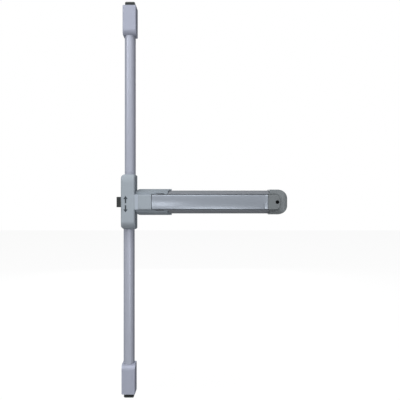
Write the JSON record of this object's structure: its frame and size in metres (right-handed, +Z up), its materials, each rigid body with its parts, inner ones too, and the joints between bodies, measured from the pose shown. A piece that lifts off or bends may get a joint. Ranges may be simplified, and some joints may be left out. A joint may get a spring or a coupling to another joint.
{
  "type": "multipoint panic lock",
  "caption": "Surface-mounted panic lock: pressing the horizontal pad draws a side latch and the bolts at the ends of its covered vertical rods.",
  "frame": {"origin": "centre of the head case on the door face, in the middle of its four screw holes", "axes": "+X along the push bar to its far end, +Z up along the rods, +Y into the door; the lock stands out of the door towards -Y"},
  "size_m": [0.4457, 0.064, 1.0414],
  "materials": {
    "silver_paint": "satin silver paint on die castings",
    "silver_anodised": "satin silver extrusion",
    "grey_plastic": "grey moulded plastic",
    "dark_steel": "black coated steel",
    "zinc_steel": "bright zinc-plated steel",
    "cast_zinc": "plain zinc casting",
    "nylon": "natural nylon",
    "spring_steel": "oiled spring steel"
  },
  "bodies": {
    "body": {"case_base_plate": "zinc_steel", "case_cover": "silver_paint", "case_cover_screws": "zinc_steel", "pinion_axle": "zinc_steel", "pinion_clip": "zinc_steel", "latch_guide": "zinc_steel", "latch_spring": "spring_steel", "rail": "silver_anodised", "rail_collar": "silver_paint", "pad_stops": "nylon", "pad_springs": "spring_steel", "end_bracket": "zinc_steel", "end_cap": "grey_plastic", "end_cap_screw": "zinc_steel", "upper_rod_bush": "nylon", "upper_rod_cover": "silver_anodised", "upper_latch_base": "zinc_steel", "upper_bolt_guide": "nylon", "upper_latch_cover": "silver_paint", "upper_cover_screw": "zinc_steel", "lower_rod_bush": "nylon", "lower_rod_cover": "silver_anodised", "lower_latch_base": "zinc_steel", "lower_bolt_guide": "nylon", "lower_latch_cover": "silver_paint", "lower_cover_screw": "zinc_steel", "left_bracket": "zinc_steel", "left_pivot_pin": "zinc_steel", "right_bracket": "zinc_steel", "right_pivot_pin": "zinc_steel"},
    "pad": {"push_pad": "silver_anodised", "pad_end_plugs": "nylon", "left_pad_lug": "cast_zinc", "right_pad_lug": "cast_zinc"},
    "left_rocker": {"left_rocker": "cast_zinc", "left_rocker_pins": "zinc_steel"},
    "right_rocker": {"right_rocker": "cast_zinc", "right_rocker_pins": "zinc_steel"},
    "pull_bar": {"pull_bar": "zinc_steel"},
    "pinion": {"pinion": "zinc_steel"},
    "latch": {"latch_bolt": "dark_steel"},
    "upper_rods": {"upper_rack": "zinc_steel", "upper_rod": "zinc_steel", "upper_lock_nut": "zinc_steel", "upper_bolt": "dark_steel"},
    "lower_rods": {"lower_rack": "zinc_steel", "lower_rod": "zinc_steel", "lower_lock_nut": "zinc_steel", "lower_bolt": "dark_steel"}
  },
  "joints": [
    {"name": "pad_press", "type": "slide", "parent": "body", "child": "pad", "axis": [0, 1, 0], "range_m": [0, 0.012], "stiffness_N_per_m": 2000, "springref_m": -0.008, "deforming": ["pad_springs"]},
    {"name": "left_rocker_turn", "type": "hinge", "parent": "body", "child": "left_rocker", "pos_m": [0.11, -0.0368, 0], "axis": [0, 0, 1], "range_deg": [-45.16, 0]},
    {"name": "right_rocker_turn", "type": "hinge", "parent": "body", "child": "right_rocker", "pos_m": [0.3, -0.0368, 0], "axis": [0, 0, 1], "range_deg": [-45.16, 0]},
    {"name": "pull_bar_slide", "type": "slide", "parent": "body", "child": "pull_bar", "axis": [1, 0, 0], "range_m": [0, 0.0141]},
    {"name": "pinion_turn", "type": "hinge", "parent": "body", "child": "pinion", "pos_m": [0.001, -0.014, 0], "axis": [0, 1, 0], "range_deg": [0, 107.2]},
    {"name": "latch_slide", "type": "slide", "parent": "body", "child": "latch", "axis": [1, 0, 0], "range_m": [0, 0.0141], "deforming": ["latch_spring"]},
    {"name": "upper_rods_slide", "type": "slide", "parent": "body", "child": "upper_rods", "axis": [0, 0, -1], "range_m": [0, 0.0141]},
    {"name": "lower_rods_slide", "type": "slide", "parent": "body", "child": "lower_rods", "axis": [0, 0, 1], "range_m": [0, 0.0141]}
  ],
  "couplings": [
    {"joint": "left_rocker_turn", "follows": "pad_press", "rad_per_m": -65.616},
    {"joint": "right_rocker_turn", "follows": "pad_press", "rad_per_m": -65.616},
    {"joint": "pull_bar_slide", "follows": "pad_press", "ratio": 1.1667},
    {"joint": "pinion_turn", "follows": "pad_press", "rad_per_m": 155.56},
    {"joint": "latch_slide", "follows": "pad_press", "ratio": 1.1667},
    {"joint": "upper_rods_slide", "follows": "pad_press", "ratio": 1.1667},
    {"joint": "lower_rods_slide", "follows": "pad_press", "ratio": 1.1667}
  ]
}
